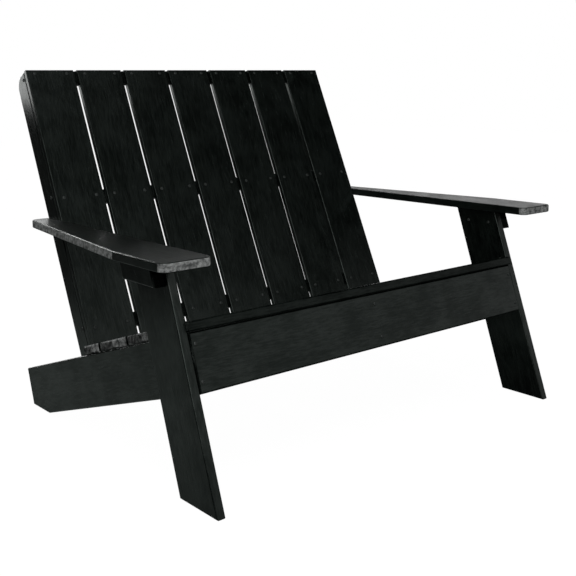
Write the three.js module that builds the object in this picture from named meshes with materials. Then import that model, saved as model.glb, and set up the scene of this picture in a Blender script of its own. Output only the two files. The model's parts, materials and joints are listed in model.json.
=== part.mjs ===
// Adirondack loveseat for two, made of black recycled-plastic lumber.
// Millimetres, +Z up. The sitter looks towards -Y, and +X is at the sitter's left hand.
// The origin is on the ground, under the middle of the chair's outer box.
import * as THREE from 'three';

// Stock: every board of the frame and the seat is one thickness
const boardThickness = 22.4;
const frameBoardWidth = 131;
const boardEasing = 4;
const easingSteps = 3;
const arcSteps = 8;
const fitGap = 0.3;

// Back slats, sawn thinner than the rest
const backSlatCount = 7;
const backSlatWidth = 139.7;
const backSlatThickness = 14.3;
const backSlatEasing = 2.4;
const slatGap = 10.05;
const backSlatFootClearance = 2;

// Back: it leans by this angle from upright, and is this high above the stringers' top edge
const backLean = THREE.MathUtils.degToRad(24.21);
const backHeight = 783;

// Uprights and rails behind the slats
const uprightDepth = 55.5;
const uprightCornerRadius = 35;
const uprightFootInset = 12;
const railHeight = 38;
const topRailRise = 4;
const middleRailHeight = 416;
const lowerRailHeight = 70;

// Seat: the stringers' top edge falls backwards by this angle, from this height at the apron's face
const seatSlope = THREE.MathUtils.degToRad(18.08);
const seatFrontHeight = 365;
const seatSlatCount = 4;
const seatSlatWidth = 131;
const rearSeatSlatWidth = 79.5;
const seatOverhang = 8;
const seatBackGap = 2.7;

// Stringers: the top corner of the tail end stands this high over the ground
const tailHeight = 96.4;

// Front legs lean back as they rise, and the apron stands a little proud of their front edge
const legLean = THREE.MathUtils.degToRad(18.96);
const apronProud = 3.1;

// Arms lie level
const armTopHeight = 534;
const armThickness = 20.5;
const armEasing = 3.2;
const armWidth = 123.6;
const armRearWidth = 49;
const armFrontOverhang = 120.4;
const armTaperStart = 198;
const armCornerRadius = 18.5;

// Arm brackets, on the legs' outer faces
const bracketThickness = 33;
const bracketHeight = 52.7;
const bracketWidth = 131;
const bracketInset = 5.7;

const blackLumber = { color: 0x1c1c1e, roughness: 0.55, metalness: 0 };

// Widths across the chair, from the middle outwards
const slatPitch = backSlatWidth + slatGap;
const backHalfWidth = (backSlatCount * slatPitch - slatGap) / 2;
const stringerInner = backHalfWidth + fitGap;
const stringerOuter = stringerInner + boardThickness;
const legInner = stringerOuter + fitGap;
const legOuter = legInner + boardThickness;
const armInner = backHalfWidth + fitGap;
const railHalfLength = backHalfWidth - boardThickness - fitGap;

// Heights of the level cuts under the arms
const armUnderside = armTopHeight - armThickness;
const legTop = armUnderside - fitGap;

// Depths along the seat, counted from the apron's front face down the slope
const seatPitch = seatSlatWidth + slatGap;
const rearSlatStart = (seatSlatCount - 1) * seatPitch - seatOverhang;
const backFoot = rearSlatStart + rearSeatSlatWidth + seatBackGap;
const stringerStart = boardThickness + fitGap;
const stringerEnd = (seatFrontHeight - tailHeight) / Math.sin(seatSlope);

// Places of the two leaning frames, before the chair is centred: a leg's toe is at y = 0
const apronFaceTop = seatFrontHeight * Math.tan(legLean) - apronProud;
const backFootY = apronFaceTop + backFoot * Math.cos(seatSlope);
const backFootZ = seatFrontHeight - backFoot * Math.sin(seatSlope);

// The uprights' faces, counted back from the slats' front face
const uprightFront = backSlatThickness + fitGap;
const uprightRear = uprightFront + uprightDepth;

// The rearmost point is on the round corner of the uprights
const roundingY = backFootY + (uprightRear - uprightCornerRadius) * Math.cos(backLean)
  + (backHeight - uprightCornerRadius) * Math.sin(backLean);
const overallDepth = roundingY + uprightCornerRadius;

// Shapes and boards

function polygon(points) {
  return new THREE.Shape(points.map(([x, y]) => new THREE.Vector2(x, y)));
}

function rectangle(x0, y0, x1, y1) {
  return polygon([[x0, y0], [x1, y0], [x1, y1], [x0, y1]]);
}

// Points on an arc round (x, y), from one angle to another
function arc(x, y, radius, from, to) {
  const points = [];
  for (let i = 0; i <= arcSteps; i += 1) {
    const angle = from + (to - from) * i / arcSteps;
    points.push([x + radius * Math.cos(angle), y + radius * Math.sin(angle)]);
  }
  return points;
}

// A board of this outline, sawn from z = 0 to its thickness, with all its arrises eased
function boardGeometry(outline, thickness, easing) {
  const geometry = new THREE.ExtrudeGeometry(outline, {
    depth: thickness - 2 * easing,
    bevelThickness: easing,
    bevelSize: easing,
    bevelOffset: -easing,
    bevelSegments: easingSteps,
  });
  return geometry.translate(0, 0, easing);
}

// Turns a board so that its outline lies in Y and Z, and its thickness runs along +X
function outlineInYZ(geometry) {
  const turn = new THREE.Matrix4().makeBasis(
    new THREE.Vector3(0, 1, 0), new THREE.Vector3(0, 0, 1), new THREE.Vector3(1, 0, 0));
  return geometry.applyMatrix4(turn);
}

// Turns a board so that its outline lies in X and Z, and its thickness runs along +Y
function outlineInXZ(geometry, thickness) {
  return geometry.rotateX(Math.PI / 2).translate(0, thickness, 0);
}

function piece(name, geometry, parent) {
  const mesh = new THREE.Mesh(geometry, new THREE.MeshStandardMaterial(blackLumber));
  mesh.name = name;
  parent.add(mesh);
  return mesh;
}

// Runs make(side, sign) for both sides, with sign +1 at the sitter's left
function forBothSides(make) {
  make('left', 1);
  make('right', -1);
}

// The lower face, along X, of something from inner to inner + thickness on this side
function startX(sign, inner, thickness) {
  return sign > 0 ? inner : -inner - thickness;
}

const chair = new THREE.Group();
chair.position.y = -overallDepth / 2;

// Frames in which the seat and the back are straight: y runs backwards, z squarely off the boards
const seat = new THREE.Group();
seat.position.set(0, apronFaceTop, seatFrontHeight);
seat.rotation.x = -seatSlope;
chair.add(seat);

const back = new THREE.Group();
back.position.set(0, backFootY, backFootZ);
back.rotation.x = -backLean;
chair.add(back);

// Front legs: parallelograms cut level at both ends
function addLegs() {
  const width = frameBoardWidth / Math.cos(legLean);
  const leaning = legTop * Math.tan(legLean);
  const outline = () => polygon([[0, 0], [width, 0], [width + leaning, legTop], [leaning, legTop]]);
  forBothSides((side, sign) => {
    const geometry = outlineInYZ(boardGeometry(outline(), boardThickness, boardEasing));
    const leg = piece(`leg_${side}`, geometry, chair);
    leg.position.x = startX(sign, legInner, boardThickness);
  });
}

// Arm brackets: short blocks with ends that follow the leg
function addArmBrackets() {
  const bottom = legTop - bracketHeight;
  const front = (z) => z * Math.tan(legLean) + bracketInset;
  const outline = () => polygon([
    [front(bottom), bottom], [front(bottom) + bracketWidth, bottom],
    [front(legTop) + bracketWidth, legTop], [front(legTop), legTop]]);
  forBothSides((side, sign) => {
    const geometry = outlineInYZ(boardGeometry(outline(), bracketThickness, boardEasing));
    const bracket = piece(`arm_bracket_${side}`, geometry, chair);
    bracket.position.x = startX(sign, legOuter + fitGap, bracketThickness);
  });
}

// Stringers: square at the apron and at the tail, with the tail's lower corner cut flat on the ground
function addStringers() {
  const heightOf = (s, n) => seatFrontHeight - s * Math.sin(seatSlope) + n * Math.cos(seatSlope);
  const endOnGround = -heightOf(stringerEnd, 0) / Math.cos(seatSlope);
  const bottomOnGround = heightOf(0, -frameBoardWidth) / Math.sin(seatSlope);
  const outline = () => polygon([
    [stringerStart, -frameBoardWidth], [bottomOnGround, -frameBoardWidth],
    [stringerEnd, endOnGround], [stringerEnd, 0], [stringerStart, 0]]);
  const make = (name, x) => {
    const geometry = outlineInYZ(boardGeometry(outline(), boardThickness, boardEasing));
    piece(name, geometry, seat).position.x = x;
  };
  forBothSides((side, sign) => {
    make(`stringer_${side}`, startX(sign, stringerInner, boardThickness));
  });
  make('stringer_middle', -boardThickness / 2);
}

// Apron: across the stringers' front ends, between the legs
function addApron() {
  const outline = rectangle(-stringerOuter, -frameBoardWidth, stringerOuter, 0);
  const geometry = boardGeometry(outline, boardThickness, boardEasing);
  piece('apron', outlineInXZ(geometry, boardThickness), seat);
}

// Seat slats: from the front edge backwards, the last one narrow
function addSeatSlats() {
  for (let i = 0; i < seatSlatCount; i += 1) {
    const width = i < seatSlatCount - 1 ? seatSlatWidth : rearSeatSlatWidth;
    const outline = rectangle(-stringerOuter, 0, stringerOuter, width);
    const geometry = boardGeometry(outline, boardThickness, boardEasing);
    const slat = piece(`seat_slat_${i + 1}`, geometry, seat);
    slat.position.set(0, i * seatPitch - seatOverhang, fitGap);
  }
}

// Back slats: side by side, from the sitter's right to the left
function addBackSlats() {
  const footRise = backSlatThickness * Math.tan(backLean - seatSlope) + backSlatFootClearance;
  for (let i = 0; i < backSlatCount; i += 1) {
    const outline = rectangle(0, footRise, backSlatWidth, backHeight);
    const geometry = boardGeometry(outline, backSlatThickness, backSlatEasing);
    const slat = piece(`back_slat_${i + 1}`, outlineInXZ(geometry, backSlatThickness), back);
    slat.position.x = i * slatPitch - backHalfWidth;
  }
}

// Uprights: behind the outer slats, down the stringers' inner faces, round at the top's rear corner
function addUprights() {
  const splay = backLean - seatSlope;
  const footDrop = (frameBoardWidth - uprightFootInset) / Math.cos(splay);
  const foot = (w) => w * Math.tan(splay) - footDrop;
  const cornerX = uprightRear - uprightCornerRadius;
  const cornerY = backHeight - uprightCornerRadius;
  const points = [
    [uprightFront, backHeight], [uprightFront, foot(uprightFront)], [uprightRear, foot(uprightRear)],
    ...arc(cornerX, cornerY, uprightCornerRadius, 0, Math.PI / 2)];
  forBothSides((side, sign) => {
    const geometry = outlineInYZ(boardGeometry(polygon(points), boardThickness, boardEasing));
    const upright = piece(`upright_${side}`, geometry, back);
    upright.position.x = startX(sign, backHalfWidth - boardThickness, boardThickness);
  });
}

// Back rails: between the uprights, flat against the slats, the top one standing a little over them
function addBackRails() {
  const bottoms = {
    top: backHeight + topRailRise - railHeight,
    middle: middleRailHeight - railHeight / 2,
    lower: lowerRailHeight - railHeight / 2,
  };
  for (const [place, bottom] of Object.entries(bottoms)) {
    const outline = rectangle(-railHalfLength, bottom, railHalfLength, bottom + railHeight);
    const geometry = boardGeometry(outline, boardThickness, boardEasing);
    const rail = piece(`back_rail_${place}`, outlineInXZ(geometry, boardThickness), back);
    rail.position.y = uprightFront;
  }
}

// Arms: straight along the back, round at the front corners, tapering to the uprights' rear edge
function addArms() {
  const front = legTop * Math.tan(legLean) - armFrontOverhang;
  const uprightRearY = backFootY + uprightRear / Math.cos(backLean);
  const rear = uprightRearY + (armTopHeight - backFootZ) * Math.tan(backLean);
  const taperY = front + armTaperStart;
  const taper = Math.atan2(armWidth - armRearWidth, rear - taperY);
  const cornerX = armRearWidth - armCornerRadius * Math.tan(Math.PI / 4 - taper / 2);
  const frontY = front + armCornerRadius;
  const points = [
    [0, rear],
    ...arc(armCornerRadius, frontY, armCornerRadius, Math.PI, 1.5 * Math.PI),
    ...arc(armWidth - armCornerRadius, frontY, armCornerRadius, 1.5 * Math.PI, 2 * Math.PI),
    [armWidth, taperY],
    ...arc(cornerX, rear - armCornerRadius, armCornerRadius, taper, Math.PI / 2),
  ];
  forBothSides((side, sign) => {
    const outline = polygon(points.map(([x, y]) => [sign * x, y]));
    const arm = piece(`arm_${side}`, boardGeometry(outline, armThickness, armEasing), chair);
    arm.position.set(sign * armInner, 0, armUnderside);
  });
}

addLegs();
addArmBrackets();
addStringers();
addApron();
addSeatSlats();
addBackSlats();
addUprights();
addBackRails();
addArms();

export default chair;
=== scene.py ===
# %% [markdown]
# A two-seat Adirondack chair of black recycled-plastic lumber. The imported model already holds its
# twenty-six boards at their real size, so this script never moves or reshapes them. It gives each board
# its finish, drives the screws that hold the boards together, and sets up a plain white studio. It starts
# by loading the model, and by noting how large it is before anything is added.

# %% Load the boards
import json
import math

import bpy
import numpy as np
from mathutils import Matrix, Vector

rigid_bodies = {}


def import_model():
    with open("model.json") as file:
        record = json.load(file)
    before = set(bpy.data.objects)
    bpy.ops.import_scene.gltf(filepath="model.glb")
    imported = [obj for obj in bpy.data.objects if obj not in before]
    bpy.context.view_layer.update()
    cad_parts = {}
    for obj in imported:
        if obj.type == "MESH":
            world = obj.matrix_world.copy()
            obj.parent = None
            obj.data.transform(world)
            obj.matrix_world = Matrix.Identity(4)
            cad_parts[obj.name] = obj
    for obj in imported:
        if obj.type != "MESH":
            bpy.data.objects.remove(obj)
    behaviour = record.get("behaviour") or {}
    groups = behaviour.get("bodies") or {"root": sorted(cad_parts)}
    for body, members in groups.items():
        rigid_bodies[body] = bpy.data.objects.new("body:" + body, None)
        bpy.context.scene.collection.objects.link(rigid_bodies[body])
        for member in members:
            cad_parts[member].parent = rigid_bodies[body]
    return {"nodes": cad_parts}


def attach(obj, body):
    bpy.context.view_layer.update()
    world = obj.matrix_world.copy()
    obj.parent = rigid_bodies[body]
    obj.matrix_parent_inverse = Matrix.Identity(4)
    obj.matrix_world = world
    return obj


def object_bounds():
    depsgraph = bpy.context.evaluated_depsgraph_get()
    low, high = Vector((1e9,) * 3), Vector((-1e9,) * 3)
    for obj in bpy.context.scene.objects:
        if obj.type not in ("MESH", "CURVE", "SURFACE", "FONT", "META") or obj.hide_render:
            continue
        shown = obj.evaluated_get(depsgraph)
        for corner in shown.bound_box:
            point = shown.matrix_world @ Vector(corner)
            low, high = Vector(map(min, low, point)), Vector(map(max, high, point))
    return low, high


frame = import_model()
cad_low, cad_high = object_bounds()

boards = frame["nodes"]
print("boards:", len(boards), "size in metres:", [round(side, 4) for side in cad_high - cad_low])

# %% [markdown]
# Every place in this script comes from the boards themselves. A board's vertices are projected on a
# direction, and the lowest and highest value say where its faces are. That works for the leaning back and
# the sloping seat as well as for level boards, where a plain bounding box would not.

# %% Directions of the chair
back_lean = math.radians(24.21)
seat_slope = math.radians(18.08)
leg_lean = math.radians(18.96)

ACROSS = Vector((1, 0, 0))
REAR = Vector((0, 1, 0))
UP = Vector((0, 0, 1))
BACK_UP = Vector((0, math.sin(back_lean), math.cos(back_lean)))
BACK_OUT = ACROSS.cross(BACK_UP)
SEAT_DOWN = Vector((0, math.cos(seat_slope), -math.sin(seat_slope)))
SEAT_OUT = ACROSS.cross(SEAT_DOWN)
LEG_UP = Vector((0, math.sin(leg_lean), math.cos(leg_lean)))
LEG_OUT = ACROSS.cross(LEG_UP)


def reach(node, direction):
    """Lowest and highest distance of a board's vertices along a direction, in metres."""
    mesh = boards[node].data
    places = np.empty(len(mesh.vertices) * 3, np.float32)
    mesh.vertices.foreach_get("co", places)
    along = places.reshape(-1, 3) @ np.array(direction)
    return float(along.min()), float(along.max())


def middle(node, direction):
    """How far along a direction the middle of a board is."""
    return sum(reach(node, direction)) / 2


print("back slat along the back:", [round(end, 4) for end in reach("back_slat_4", BACK_UP)])

# %% [markdown]
# The boards come in with flat facets on their eased arrises. Real lumber has a smooth round there, so each
# board gets two modifiers, which leave its own mesh alone. The first is a small node group that welds the
# facets together and marks them smooth. The second, Weighted Normal, lets the large faces rule, so that
# they stay flat and only the arrises shade as a round. Its threshold is zero: left as it is, it takes faces
# that differ by less than a hundredth of a square metre for equals, and a board's narrow faces would shade
# askew. Subdividing would look alike and cost far more triangles.

# %% Smooth arrises
weld_distance = 0.00002
large_face_weight = 100
equal_area_limit = 0.0

smoothing = bpy.data.node_groups.new("smooth_arrises", "GeometryNodeTree")
smoothing.interface.new_socket("Geometry", in_out="INPUT", socket_type="NodeSocketGeometry")
smoothing.interface.new_socket("Geometry", in_out="OUTPUT", socket_type="NodeSocketGeometry")
group_in = smoothing.nodes.new("NodeGroupInput")
weld = smoothing.nodes.new("GeometryNodeMergeByDistance")
weld.inputs["Distance"].default_value = weld_distance
smooth = smoothing.nodes.new("GeometryNodeSetShadeSmooth")
group_out = smoothing.nodes.new("NodeGroupOutput")
smoothing.links.new(group_in.outputs[0], weld.inputs["Geometry"])
smoothing.links.new(weld.outputs["Geometry"], smooth.inputs["Geometry"])
smoothing.links.new(smooth.outputs["Geometry"], group_out.inputs[0])

for board in boards.values():
    board.modifiers.new("smooth_arrises", "NODES").node_group = smoothing
    weighted = board.modifiers.new("flat_faces", "WEIGHTED_NORMAL")
    weighted.weight = large_face_weight
    weighted.thresh = equal_area_limit
print("smoothed:", len(boards))

# %% [markdown]
# A finish is a tree of shader nodes, and a tree is easier to read as sums than as links. This class wraps
# one socket. Adding or multiplying two of them adds a Math node, and node() adds any other kind: its
# settings go in first, and then what its sockets hold, as values or as other wrapped sockets.


# %% Shader sums
class Socket:
    """One output of a shader tree, or the tree's start where there is none yet."""

    def __init__(self, tree, output=None):
        self.tree = tree
        self.output = output

    def node(self, kind, settings=None, sockets=None, output=0):
        """Adds a node, with its settings first and then its sockets, and wraps one of its outputs."""
        made = self.tree.nodes.new("ShaderNode" + kind)
        for name, value in (settings or {}).items():
            setattr(made, name, value)
        for key, value in (sockets or {}).items():
            target = self.find(made.inputs, key)
            if isinstance(value, Socket):
                self.tree.links.new(value.output, target)
            else:
                target.default_value = value
        return Socket(self.tree, self.find(made.outputs, output) if made.outputs else None)

    @staticmethod
    def find(sockets, key):
        """A socket by its number, its identifier or its name."""
        if isinstance(key, int):
            return sockets[key]
        return next(socket for socket in sockets if key in (socket.identifier, socket.name))

    def math(self, operation, *values):
        """A Math node over these values."""
        return self.node("Math", {"operation": operation}, dict(enumerate(values)))

    def __add__(self, other):
        return self.math("ADD", self, other)

    def __sub__(self, other):
        return self.math("SUBTRACT", self, other)

    def __rsub__(self, other):
        return self.math("SUBTRACT", other, self)

    def __mul__(self, other):
        return self.math("MULTIPLY", self, other)

    def __abs__(self):
        return self.math("ABSOLUTE", self)

    __radd__ = __add__
    __rmul__ = __mul__

    def larger(self, other):
        """The larger of two values."""
        return self.math("MAXIMUM", self, other)

    def dot(self, direction):
        """How far a vector reaches along a fixed direction."""
        return self.node("VectorMath", {"operation": "DOT_PRODUCT"}, {0: self, 1: tuple(direction)}, "Value")

    def scaled(self, factor):
        """A vector or a colour made larger or smaller."""
        return self.node("VectorMath", {"operation": "SCALE"}, {0: self, "Scale": factor})

    def fade(self, low, high):
        """0 below low, 1 above high, and a smooth step between."""
        return self.node("MapRange", {"interpolation_type": "SMOOTHSTEP"},
                         {"Value": self, "From Min": low, "From Max": high}, "Result")

    def blend(self, none, full):
        """Mixes two colours, with this value as the share of the second."""
        return self.node("Mix", {"data_type": "RGBA"},
                         {"Factor_Float": self, "A_Color": none, "B_Color": full}, "Result_Color")


def empty_tree(holder):
    """Clears the shader tree of a material or a world, and gives its start."""
    holder.use_nodes = True
    holder.node_tree.nodes.clear()
    return Socket(holder.node_tree)


# %% [markdown]
# Plastic lumber of this kind is coloured right through, so the whole chair is one black. The two skin
# colours are the darkest and the lightest of it. Most of the grey that the eye sees is light that the skin
# mirrors, and the glint is the tint of that light, a little greenish as it is on the real boards. Where a
# saw or a router has taken the skin off, the plastic is greyer. The seat slats' ends get a paler grey
# still, and that extra paleness is painted light, for light from the left that the lamps don't bring there.


# %% Colours of the plastic
def rgb(red, green, blue):
    """A colour as shader sockets take it."""
    return (red, green, blue, 1.0)


skin_black = rgb(0.0003, 0.0007, 0.0005)
skin_grey = rgb(0.0052, 0.0072, 0.0062)
skin_glint = rgb(0.83, 1.0, 0.91)
sawn_dark = rgb(0.045, 0.046, 0.046)
sawn_light = rgb(0.305, 0.313, 0.308)
sawn_pale_painted_light = rgb(0.540, 0.555, 0.548)
print("lightest skin, lightest sawn face:", skin_grey[1], sawn_pale_painted_light[1])

# %% [markdown]
# The skin is rolled with a shallow wood grain that runs along the board: long soft streaks, and short
# flecks between them, over a broad mottle. An image of the grain would need UVs on every board. Noise needs
# only a place in the chair, so it is read from there, and squeezed along the board's own direction until
# its blobs are fibres.

# %% Rolled grain
fleck_length = 0.026
fleck_width = 0.0034
streak_length = 0.300
streak_width = 0.014
mottle_size = 0.070


def noise(vector, detail, roughness=0.6):
    """Cloudy noise between 0 and 1, with blobs about one unit across."""
    sockets = {"Vector": vector, "Scale": 1.0, "Detail": detail, "Roughness": roughness}
    return vector.node("TexNoise", None, sockets, "Fac")


def fibres(place, along, length, width, detail):
    """Noise with blobs of this length along the board and this width across it."""
    side = ACROSS if abs(along.x) < abs(along.y) + abs(along.z) else REAR
    out = along.cross(side).normalized()
    squeezed = place.node("CombineXYZ", None, {
        "X": place.dot(along * (1 / length)),
        "Y": place.dot(side * (1 / width)),
        "Z": place.dot(out * (1 / width))})
    return noise(squeezed, detail)


def rolled_grain(place, along):
    """The flecks, the streaks and the mottle of a board's skin."""
    flecks = fibres(place, along, fleck_length, fleck_width, detail=3.0)
    streaks = fibres(place, along, streak_length, streak_width, detail=4.0)
    mottle = noise(place.scaled(1 / mottle_size), detail=3.0, roughness=0.5)
    return flecks, streaks, mottle


print("a fleck is", round(fleck_length / fleck_width, 1), "times as long as it is wide")

# %% [markdown]
# Sawn plastic is cloudy, with a dark speck wherever a pore is open. Two more noises make that. They are the
# same size in every direction, because what a saw lays open has no grain. The clouds are handed back as
# well, since they also make the sawn face a little uneven.

# %% Sawn plastic
cloud_size = 0.0110
speck_size = 0.0034
cloud_edges = (0.30, 0.66)
speck_edges = (0.55, 0.68)
speck_darkness = 0.75


def sawn_plastic(place, light):
    """The colour of bare plastic up to this light grey, and its clouds."""
    clouds = noise(place.scaled(1 / cloud_size), detail=3.0)
    specks = noise(place.scaled(1 / speck_size), detail=2.0)
    paleness = clouds.fade(*cloud_edges) * (1 - specks.fade(*speck_edges) * speck_darkness)
    return paleness.blend(sawn_dark, light), clouds


print("clouds and specks in millimetres:", cloud_size * 1000, speck_size * 1000)

# %% [markdown]
# Boards are sawn to length, so their ends are bare. The arms are routed as well, along the taper and round
# the front, but not along their straight stretch. Painting that by hand would take a mask for each board.
# The direction of a face tells as much: at an end it lies along the grain, and on a taper it turns a little
# that way. The edges below are cosines, and a face comes to count or ceases to count between them.

# %% Faces without skin
end_edges = (0.55, 0.65)
level_edges = (0.3, 0.5)
taper_edges = (0.06, 0.11)


def sawn_ends(facing, along):
    """The two ends of a board."""
    return abs(facing.dot(along)).fade(*end_edges)


def routed_sides(facing, along):
    """The upright faces of an arm that its grain doesn't run along."""
    upright_face = 1 - abs(facing.dot(UP)).fade(*level_edges)
    return upright_face * abs(facing.dot(along)).fade(*taper_edges)


def no_faces(facing, along):
    """None, so that a board's ends get the same colour as its skin."""
    return facing.dot(along) * 0


print("an end counts within", round(math.degrees(math.acos(end_edges[1]))), "degrees of the grain")

# %% [markdown]
# One function makes the finish of every board from its grain direction. Where the grain is pale it is also
# duller and stands higher, as on skin that a roller has pressed. Height goes through a Bump node, because
# the real grain is under a millimetre deep and would cost millions of triangles as mesh. A thin coat over
# the pale grain adds the polish of a surface that was moulded and not planed.

# %% Finish of a board
fleck_share, streak_share, mottle_share = 0.45, 0.20, 0.35
tone_edges = (0.38, 0.62)
fleck_dulling, streak_dulling, sawn_dulling = 0.12, 0.06, 0.45
fleck_relief, streak_relief, cloud_relief = 0.8, 0.5, 0.6
relief_strength = 0.55
grain_depth = 0.0008
plastic_ior = 1.5
polish_roughness = 0.22


def lumber(name, along, bare_faces=sawn_ends, dullness=0.16, gloss=0.34, bare_light=sawn_light):
    """The finish of a board whose grain runs along this direction."""
    material = bpy.data.materials.new(name)
    start = empty_tree(material)
    place = start.node("TexCoord", output="Object")
    flecks, streaks, mottle = rolled_grain(place, along)
    bare, clouds = sawn_plastic(place, bare_light)
    sawn = bare_faces(start.node("NewGeometry", output="True Normal"), along)

    tone = (flecks * fleck_share + streaks * streak_share + mottle * mottle_share).fade(*tone_edges)
    colour = sawn.blend(tone.blend(skin_black, skin_grey), bare)
    roughness = dullness + flecks * fleck_dulling + streaks * streak_dulling + sawn * sawn_dulling
    height = flecks * fleck_relief + streaks * streak_relief + sawn * (clouds - flecks) * cloud_relief
    normal = start.node("Bump", None, {
        "Strength": relief_strength, "Distance": grain_depth, "Height": height})
    surface = start.node("BsdfPrincipled", None, {
        "Base Color": colour, "Roughness": roughness, "Normal": normal,
        "IOR": plastic_ior, "Specular IOR Level": gloss, "Specular Tint": skin_glint,
        "Coat Weight": (1 - sawn) * tone * gloss, "Coat Roughness": polish_roughness})
    start.node("OutputMaterial", None, {"Surface": surface})
    return material


print("grain at most", grain_depth * 1000, "mm deep")

# %% [markdown]
# Each family of boards gets the finish of its own grain direction. The apron and the front slat get no
# bare ends, so their ends are as dark as their skin, and the front slat shines less than the rest. The arms
# look duller in the photograph, so they are rougher here. A family is found by the longest start of a
# board's name, so that the front slat is not taken for one of the other seat slats.

# %% Finishes of the boards
# The boards that run across get the palest sawn grey, which paints light onto the seat slats' ends.
across_lumber = lumber("across_lumber", ACROSS, bare_light=sawn_pale_painted_light)
apron_lumber = lumber("apron_lumber", ACROSS, no_faces)
front_lumber = lumber("front_lumber", ACROSS, no_faces, gloss=0.15)
back_lumber = lumber("back_lumber", BACK_UP)
leg_lumber = lumber("leg_lumber", LEG_UP)
stringer_lumber = lumber("stringer_lumber", SEAT_DOWN)
arm_lumber = lumber("arm_lumber", REAR, routed_sides, dullness=0.34)
bracket_lumber = lumber("bracket_lumber", LEG_UP)

finish_of = {
    "apron": apron_lumber, "seat_slat_1": front_lumber, "seat_slat": across_lumber,
    "back_rail": across_lumber, "back_slat": back_lumber, "upright": back_lumber,
    "leg": leg_lumber, "stringer": stringer_lumber, "arm_bracket": bracket_lumber,
    "arm_left": arm_lumber, "arm_right": arm_lumber,
}
for name, board in boards.items():
    family = max((family for family in finish_of if name.startswith(family)), key=len)
    board.data.materials.clear()
    board.data.materials.append(finish_of[family])
print("finishes:", sorted(material.name for material in bpy.data.materials))

# %% [markdown]
# The boards are held by coated stainless pan-head screws. A screw head is turned and then punched, so its
# mesh is a profile spun round an axis, with a cross recess sunk into the dome. All heads share one mesh: a
# screw is only ever seen from its head, so its shank is left out where it is buried in the board.

# %% One screw head
head_radius = 0.0048
head_height = 0.0024
head_sink = 0.0003
dome_power = 4
recess_reach = 0.0025
recess_half_width = 0.0007
recess_depth = 0.0011
head_sides = 32
head_rings = 16


def head_level(x, y):
    """Height of the pan head over the board at a place in the head, less the cross recess."""
    share = min(math.hypot(x, y) / head_radius, 1)
    dome = head_height * math.sqrt(max(1 - share ** dome_power, 0)) - head_sink
    in_slot = min(abs(x), abs(y)) < recess_half_width and max(abs(x), abs(y)) < recess_reach
    return dome - recess_depth * in_slot


def screw_head_mesh():
    """Rings of points over the dome, closed below by a flat disc that is sunk into the board."""
    points = [(0, 0, head_level(0, 0))]
    for ring in range(1, head_rings + 1):
        radius = head_radius * ring / head_rings
        for side in range(head_sides):
            turn = 2 * math.pi * side / head_sides
            x, y = radius * math.cos(turn), radius * math.sin(turn)
            points.append((x, y, head_level(x, y)))
    ring_starts = [1 + ring * head_sides for ring in range(head_rings)]
    steps = [(side, (side + 1) % head_sides) for side in range(head_sides)]
    faces = [(0, 1 + this, 1 + after) for this, after in steps]
    for inner, outer in zip(ring_starts, ring_starts[1:]):
        faces += [(inner + this, outer + this, outer + after, inner + after) for this, after in steps]
    base = len(points)
    points.append((0, 0, -head_sink))
    faces += [(base, ring_starts[-1] + after, ring_starts[-1] + this) for this, after in steps]
    mesh = bpy.data.meshes.new("screw_head")
    mesh.from_pydata(points, [], faces)
    mesh.update()
    return mesh


screw_mesh = screw_head_mesh()
print("screw head faces:", len(screw_mesh.polygons))

# %% [markdown]
# Stainless steel with a thin dark coating stays a little metallic, and lighter than the lumber, so each
# head is seen as a small pale dot. A fine speckle in its colour and roughness keeps the coating from
# looking like a mirror.

# %% Coated steel
coating_dark = rgb(0.034, 0.039, 0.037)
coating_light = rgb(0.072, 0.080, 0.076)
coating_speck = 0.0009
coating_edges = (0.4, 0.7)
coating_metallic = 0.5
coating_dullness, speck_dulling = 0.38, 0.16

screw_steel = bpy.data.materials.new("coated_screw_steel")
start = empty_tree(screw_steel)
place = start.node("TexCoord", output="Object")
specks = noise(place.scaled(1 / coating_speck), detail=2.0, roughness=0.5)
surface = start.node("BsdfPrincipled", None, {
    "Base Color": specks.fade(*coating_edges).blend(coating_dark, coating_light),
    "Metallic": coating_metallic, "Roughness": coating_dullness + specks * speck_dulling})
start.node("OutputMaterial", None, {"Surface": surface})
screw_mesh.materials.append(screw_steel)
print("screw finish:", screw_steel.name)

# %% [markdown]
# Driving a screw is the same everywhere: its head sits on a face and looks out of it, and its cross is
# turned to some direction of the board. One helper does it for all, and says what the head rides on and what
# it is made of. A second one counts what was driven, so that each group can be checked against the chair.


# %% Driving a screw
def screw(name, place, out, up):
    """Sets a screw head at a place on a face that looks out, with its cross turned up."""
    side = up.cross(out).normalized()
    turn = Matrix((side, out.cross(side), out)).transposed()
    head = bpy.data.objects.new("screw_" + name, screw_mesh)
    head.matrix_world = Matrix.Translation(place) @ turn.to_4x4()
    bpy.context.scene.collection.objects.link(head)
    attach(head, "root")


def driven(group=""):
    """How many screws of a group there are."""
    return sum(piece.name.startswith("screw_" + group) for piece in bpy.data.objects)


print("driven so far:", driven())

# %% [markdown]
# Each back slat has two screws at each of the three rails behind it. The rows follow the rails, and the
# columns are set out from the slat's middle, so both come from the boards.

# %% Screws of the back
slat_screw_spread = 0.0472
rail_row_lift = {"top": 0.004, "middle": 0.0, "lower": -0.005}

back_slats = sum(name.startswith("back_slat") for name in boards)
slat_front = reach("back_slat_4", BACK_OUT)[1]
for slat in range(1, back_slats + 1):
    for row, lift in rail_row_lift.items():
        level = middle(f"back_rail_{row}", BACK_UP) + lift
        for column, offset in (("a", -slat_screw_spread), ("b", slat_screw_spread)):
            x = middle(f"back_slat_{slat}", ACROSS) + offset
            screw(f"back_{slat}_{row}_{column}", ACROSS * x + BACK_UP * level + BACK_OUT * slat_front,
                  BACK_OUT, BACK_UP)
print("screws of the back:", driven("back"))

# %% [markdown]
# The apron is screwed to the front ends of the three stringers, with two screws in each. Each pair stands
# over the middle of its stringer, and its levels are measured up from the apron's lower edge.

# %% Screws of the apron
apron_screw_levels = {"upper": 0.1055, "lower": 0.0243}

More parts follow.
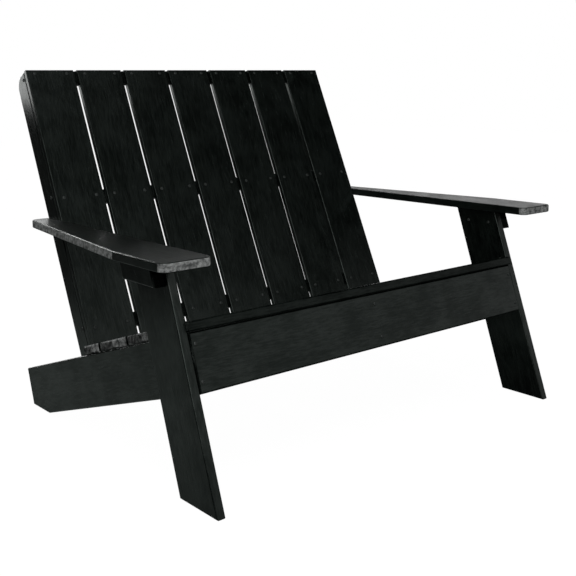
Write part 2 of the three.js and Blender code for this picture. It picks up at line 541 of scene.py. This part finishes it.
stringers = ("left", "middle", "right")
apron_front = reach("apron", -SEAT_DOWN)[1]
apron_bottom = reach("apron", SEAT_OUT)[0]
for stringer in stringers:
    x = middle(f"stringer_{stringer}", ACROSS)
    for row, level in apron_screw_levels.items():
        place = ACROSS * x + SEAT_OUT * (apron_bottom + level) - SEAT_DOWN * apron_front
        screw(f"apron_{stringer}_{row}", place, -SEAT_DOWN, SEAT_OUT)
print("screws of the apron:", driven("apron"))

# %% [markdown]
# The seat slats lie on the same three stringers. A full slat has two screws in each stringer, and the
# narrow one at the back has one.

# %% Screws of the seat
seat_screw_spread = 0.041

seat_slats = sum(name.startswith("seat_slat") for name in boards)
seat_top = reach("seat_slat_1", SEAT_OUT)[1]
full_slat = {"front": -seat_screw_spread, "rear": seat_screw_spread}
narrow_slat = {"only": 0.0}
for slat in range(1, seat_slats + 1):
    offsets = full_slat if slat < seat_slats else narrow_slat
    for stringer in stringers:
        x = middle(f"stringer_{stringer}", ACROSS)
        for row, offset in offsets.items():
            depth = middle(f"seat_slat_{slat}", SEAT_DOWN) + offset
            screw(f"seat_{slat}_{stringer}_{row}", ACROSS * x + SEAT_DOWN * depth + SEAT_OUT * seat_top,
                  SEAT_OUT, SEAT_DOWN)
print("screws of the seat:", driven("seat"))

# %% [markdown]
# The frame's own screws run sideways. Through an upright's outer face one goes into the end of each rail.
# Through its inner face two go into the stringer, and one into the arm. Each is placed by the board that it
# holds, and stands close to the middle of it. Both sides of the chair are alike, so one function serves
# them, and is told which way is outward.

# %% Screws of an upright
rail_end_lift = {"top": -0.004, "middle": 0.010, "lower": 0.0}
upright_foot_levels = {"upper": 0.075, "lower": 0.030}

rail_depth = middle("back_rail_middle", BACK_OUT)


def screw_upright(side, outward):
    """The screws through the upright of one side, into its rails, its stringer and its arm."""
    outer = reach(f"upright_{side}", outward)[1]
    inner = reach(f"upright_{side}", -outward)[1]
    foot = reach(f"upright_{side}", BACK_UP)[0]
    depth = (reach(f"upright_{side}", BACK_OUT)[0] + slat_front) / 2
    for row, lift in rail_end_lift.items():
        level = middle(f"back_rail_{row}", BACK_UP) + lift
        screw(f"rail_{row}_{side}", outward * outer + BACK_UP * level + BACK_OUT * rail_depth,
              outward, BACK_UP)
    inner_line = BACK_OUT * depth - outward * inner
    for row, level in upright_foot_levels.items():
        screw(f"upright_{side}_{row}", inner_line + BACK_UP * (foot + level), -outward, BACK_UP)
    arm_level = (middle(f"arm_{side}", UP) - BACK_OUT.z * depth) / BACK_UP.z
    screw(f"arm_rear_{side}", inner_line + BACK_UP * arm_level, -outward, BACK_UP)


print("rails stand back by", round(slat_front - rail_depth, 4), "m from the slats' faces")

# %% [markdown]
# Through a stringer's inner face two screws go into the leg, and through the leg's inner face two go into
# the bracket under the arm. Two more hold the arm from below, through the bracket. The leg leans, so each
# screw's height is turned into a distance along the leg.

# %% Screws of a leg
leg_screw_heights = {"upper": 0.310, "lower": 0.250}
bracket_screw_height = 0.478
bracket_screw_offsets = {"front": -0.0355, "rear": 0.0355}


def screw_leg(side, outward):
    """The screws of the leg of one side, and those of its bracket and its arm."""
    stringer_inner = reach(f"stringer_{side}", -outward)[1]
    leg_inner = reach(f"leg_{side}", -outward)[1]
    leg_line = middle(f"leg_{side}", LEG_OUT)
    for row, height in leg_screw_heights.items():
        level = (height - LEG_OUT.z * leg_line) / LEG_UP.z
        screw(f"leg_{side}_{row}", LEG_UP * level + LEG_OUT * leg_line - outward * stringer_inner,
              -outward, LEG_UP)
    bracket_bottom = reach(f"arm_bracket_{side}", -UP)[1]
    level = (bracket_screw_height - LEG_OUT.z * leg_line) / LEG_UP.z
    for row, offset in bracket_screw_offsets.items():
        place = LEG_UP * level + LEG_OUT * leg_line + REAR * offset
        screw(f"bracket_{side}_{row}", place - outward * leg_inner, -outward, LEG_UP)
        below = ACROSS * middle(f"arm_bracket_{side}", ACROSS) + REAR * place.y - UP * bracket_bottom
        screw(f"arm_{side}_{row}", below, -UP, REAR)


for side, outward in (("left", ACROSS), ("right", -ACROSS)):
    screw_upright(side, outward)
    screw_leg(side, outward)
print("screws in all:", driven())

# %% [markdown]
# The floor is a plain sheet. To the camera it is as white as the background, apart from the chair's shadow.
# The sheet reaches far past the chair, where its edge melts into the white of the room.

# %% Floor
floor_half = 12.0

floor_mesh = bpy.data.meshes.new("floor")
corner_signs = ((-1, -1), (1, -1), (1, 1), (-1, 1))
floor_mesh.from_pydata([(x * floor_half, y * floor_half, 0) for x, y in corner_signs], [], [(0, 1, 2, 3)])
floor = bpy.data.objects.new("floor", floor_mesh)
bpy.context.scene.collection.objects.link(floor)
print("floor in metres:", 2 * floor_half, "by", 2 * floor_half)

# %% [markdown]
# The sheet's whiteness is a glow that Light Path shows to camera, glossy and transmission rays, and it adds
# no other light to the chair. A real white floor would add some, and black plastic would turn grey. The
# boards mirror the glow dimly, apart from a brighter pool behind the chair on the left, which the outer
# faces of the near leg and stringer show.

# %% White paper
floor_grey = rgb(0.05, 0.05, 0.05)
floor_glow = 0.98
mirrored_white = rgb(0.88, 1.0, 0.94)
mirrored_share = 0.02
pool_share = 0.142
pool_middle = (-0.80, 0.45, 0)
pool_edges = (0.45, 1.45)


def ray_kinds(start):
    """Whether a ray comes from the camera, off a glossy face or through a clear one."""
    kinds = ("Camera", "Glossy", "Transmission")
    return [start.node("LightPath", output=f"Is {kind} Ray") for kind in kinds]


paper = bpy.data.materials.new("white_paper")
start = empty_tree(paper)
camera_ray, glossy_ray, transmission_ray = ray_kinds(start)
spot = start.node("TexCoord", output="Object")
distance = start.node("VectorMath", {"operation": "DISTANCE"}, {0: spot, 1: pool_middle}, "Value")
pool = (1 - distance.fade(*pool_edges)) * pool_share + mirrored_share
seen = camera_ray + transmission_ray + glossy_ray * pool
tint = camera_ray.blend(mirrored_white, rgb(1, 1, 1))
lit = start.node("BsdfDiffuse", None, {"Color": floor_grey})
glow = start.node("Emission", None, {"Color": tint.scaled(seen), "Strength": floor_glow})
start.node("OutputMaterial", None, {"Surface": start.node("AddShader", None, {0: lit, 1: glow})})
floor_mesh.materials.append(paper)
print("share of the glow that boards mirror:", mirrored_share, "to", round(mirrored_share + pool_share, 3))

# %% [markdown]
# The room round the chair is white where the camera looks, but the boards mirror only parts of it, because
# black plastic shows every light that it faces. Those parts are painted by direction, as cards and flats
# are set up round a product in a studio. Real cards would do as well, but they would throw shadows on the
# floor. A band is a stretch of such a direction, faded at both of its ends.

# %% Directions of the room
world = bpy.data.worlds.new("studio")
bpy.context.scene.world = world
start = empty_tree(world)
direction = start.node("TexCoord", output="Generated")
height = direction.dot(UP)
rightward = direction.dot(ACROSS)
rearward = direction.dot(REAR)


def band(share, starts, full, fades, ends):
    """1 from full to fades, and nothing below starts or above ends."""
    return share.fade(starts, full) * (1 - share.fade(fades, ends))


print("world:", world.name)

# %% [markdown]
# Low behind the chair on the right is a bright sweep. The camera looks along the top of the far arm, which
# mirrors the sweep and is nearly white. The near arm's top mirrors a place a little further to the left. It
# is dark in the photograph, so the sweep has a gap there.

# %% Sweep behind the chair
sweep_strength = 1.6
sweep_heights = (0.0, 0.04, 0.12, 0.30)
sweep_gap = (0.43, 0.455, 0.60, 0.70)
sweep_left_edges = (-0.1, 0.1)
sweep_rear_edges = (0.2, 0.5)

sweep = band(height, *sweep_heights) * (1 - band(rightward, *sweep_gap)) * sweep_strength
sweep = sweep * rightward.fade(*sweep_left_edges) * rearward.fade(*sweep_rear_edges)
print("sweep up to", round(math.degrees(math.asin(sweep_heights[-1]))), "degrees over the floor")

# %% [markdown]
# In front on the right is a low wall, which the apron, the near leg's front, the front slat and the foot of
# the back mirror. Its upper edge slants down to the right, so that the far slats stay as dark as the near
# ones. It gets dimmer to the right, and it has a darker low left corner, for the near leg's lower half.

# %% Wall in front
wall_strength = 0.50
wall_foot_edges = (-0.02, 0.03)
wall_slant = 0.6
wall_top_edges = (0.72, 0.81)
wall_front_edges = (0.1, 0.5)
wall_left_edges = (0.0, 0.3)
dim_edges = (0.35, 0.8)
left_gain, dimming = 1.3, 0.5
corner_height_edges = (0.22, 0.30)
corner_side_edges = (0.54, 0.60)
corner_shade = 0.3

wall_edge = 1 - (height + rightward * wall_slant).fade(*wall_top_edges)
low_corner = (1 - height.fade(*corner_height_edges)) * (1 - rightward.fade(*corner_side_edges))
wall = height.fade(*wall_foot_edges) * wall_edge * (-1 * rearward).fade(*wall_front_edges)
wall = wall * rightward.fade(*wall_left_edges) * (1 - low_corner * corner_shade)
wall = wall * (left_gain - rightward.fade(*dim_edges) * dimming) * wall_strength
print("wall strength on the left and the right:", round(wall_strength * left_gain, 3),
      round(wall_strength * (left_gain - dimming), 3))

# %% [markdown]
# Four round soft cards do the rest. A bright one stands over the place that the head of the first slat
# mirrors, and a faint wide one on that place, for the heads of the others. Another faint wide one high up
# behind is for the rounded edges, and a small strong one for the arris along the near arm's taper.


# %% Soft cards
def card(towards, inner, outer, strength):
    """A round soft card: full inside one angle from its middle, none outside another, in degrees."""
    closeness = direction.dot(Vector(towards).normalized())
    return closeness.fade(math.cos(math.radians(outer)), math.cos(math.radians(inner))) * strength


crown_card = card(towards=(0.40, -0.60, 0.69), inner=4, outer=16, strength=0.03)
corner_card = card(towards=(0.41, -0.50, 0.765), inner=3, outer=8, strength=0.90)
rear_card = card(towards=(0.35, 0.78, 0.52), inner=8, outer=28, strength=0.08)
arris_card = card(towards=(-0.07, 0.952, 0.300), inner=1.5, outer=4, strength=19.0)
print("nodes of the room so far:", len(world.node_tree.nodes))

# %% [markdown]
# What a ray sees depends on its kind. Camera rays see plain white. Glossy and transmission rays see what was
# painted above. All others, which carry the soft light that falls on the boards, see one even grey, so that
# no card leaves a patch of light on the floor.

# %% Background
fill_strength = 0.45

camera_ray, glossy_ray, transmission_ray = ray_kinds(start)
mirrored = sweep + wall + crown_card + corner_card + rear_card + arris_card
shown = camera_ray + (1 - camera_ray) * mirrored
seen = camera_ray.larger(glossy_ray).larger(transmission_ray)
strength = seen * shown + (1 - seen) * fill_strength
background = start.node("Background", None, {"Color": rgb(1, 1, 1), "Strength": strength})
start.node("OutputWorld", None, {"Surface": background})
print("even grey:", fill_strength)

# %% [markdown]
# A large softbox stands on the left in front, above the camera, and a smaller one nearer and higher. They
# light the near arm and the left slats more than the right ones. A wide, shallow one behind on the left, as
# high as the back, gives the glare at the head of the near upright. The last, behind on the right, keeps
# the back of the chair readable when it is turned round.


# %% Lamps
def softbox(name, place, target, width, height, power):
    """A rectangular lamp at a place, facing a target."""
    lamp = bpy.data.lights.new(name, "AREA")
    lamp.shape = "RECTANGLE"
    lamp.size = width
    lamp.size_y = height
    lamp.energy = power
    holder = bpy.data.objects.new(name, lamp)
    holder.location = place
    holder.rotation_mode = "QUATERNION"
    holder.rotation_quaternion = (Vector(target) - Vector(place)).to_track_quat("-Z", "Y")
    holder.visible_camera = False
    bpy.context.scene.collection.objects.link(holder)


softbox("key_softbox", place=(-1.2, -2.0, 1.6), target=(-0.2, 0, 0.45),
        width=2.0, height=2.0, power=24)
softbox("top_softbox", place=(-0.9, -1.3, 2.2), target=(-0.3, 0, 0.6),
        width=1.0, height=1.0, power=7)
softbox("edge_softbox", place=(-0.45, 1.0, 0.99), target=(-0.45, 0.45, 0.89),
        width=1.1, height=0.34, power=2.7)
softbox("rear_softbox", place=(1.2, 2.4, 1.6), target=(0, 0.1, 0.5),
        width=1.4, height=1.0, power=8)
print("lamps:", [lamp.name for lamp in bpy.data.lights])

# %% [markdown]
# The camera stands where the photograph was taken. Its place and angles were solved from the chair's own
# straight edges. Yaw turns it from straight on towards the right, pitch tips it down, and roll tips its
# horizon.

# %% Camera's place and turn
camera_place = Vector((-1.59573, cad_low.y - 1.48151, 0.88110))
yaw = math.radians(39.64)
pitch = math.radians(7.23)
roll = math.radians(0.655)

forward = Vector((math.sin(yaw) * math.cos(pitch), math.cos(yaw) * math.cos(pitch), -math.sin(pitch)))
level_right = Vector((math.cos(yaw), -math.sin(yaw), 0))
down = forward.cross(level_right)
right = level_right * math.cos(roll) + down * math.sin(roll)
camera_up = level_right * math.sin(roll) - down * math.cos(roll)
camera_turn = Matrix((right, camera_up, -forward)).transposed()
print("camera in metres:", [round(part, 3) for part in camera_place])

# %% [markdown]
# The focal length was solved with them, in pixels of a 576-pixel frame. The middle of the perspective lies
# above the middle of that frame, as if it were cut from a taller picture, and the lens is shifted to match.

# %% Lens
picture_side = 576
focal_pixels = 933.74
centre_row = 201.69
sensor_width = 36.0

lens = bpy.data.cameras.new("photograph")
lens.sensor_width = sensor_width
lens.lens = focal_pixels / picture_side * sensor_width
lens.shift_y = (centre_row - picture_side / 2) / picture_side
camera = bpy.data.objects.new("photograph", lens)
camera.matrix_world = Matrix.Translation(camera_place) @ camera_turn.to_4x4()
bpy.context.scene.collection.objects.link(camera)
bpy.context.scene.camera = camera
bpy.context.scene.view_settings.view_transform = "Standard"
print("lens in millimetres:", round(lens.lens, 2))
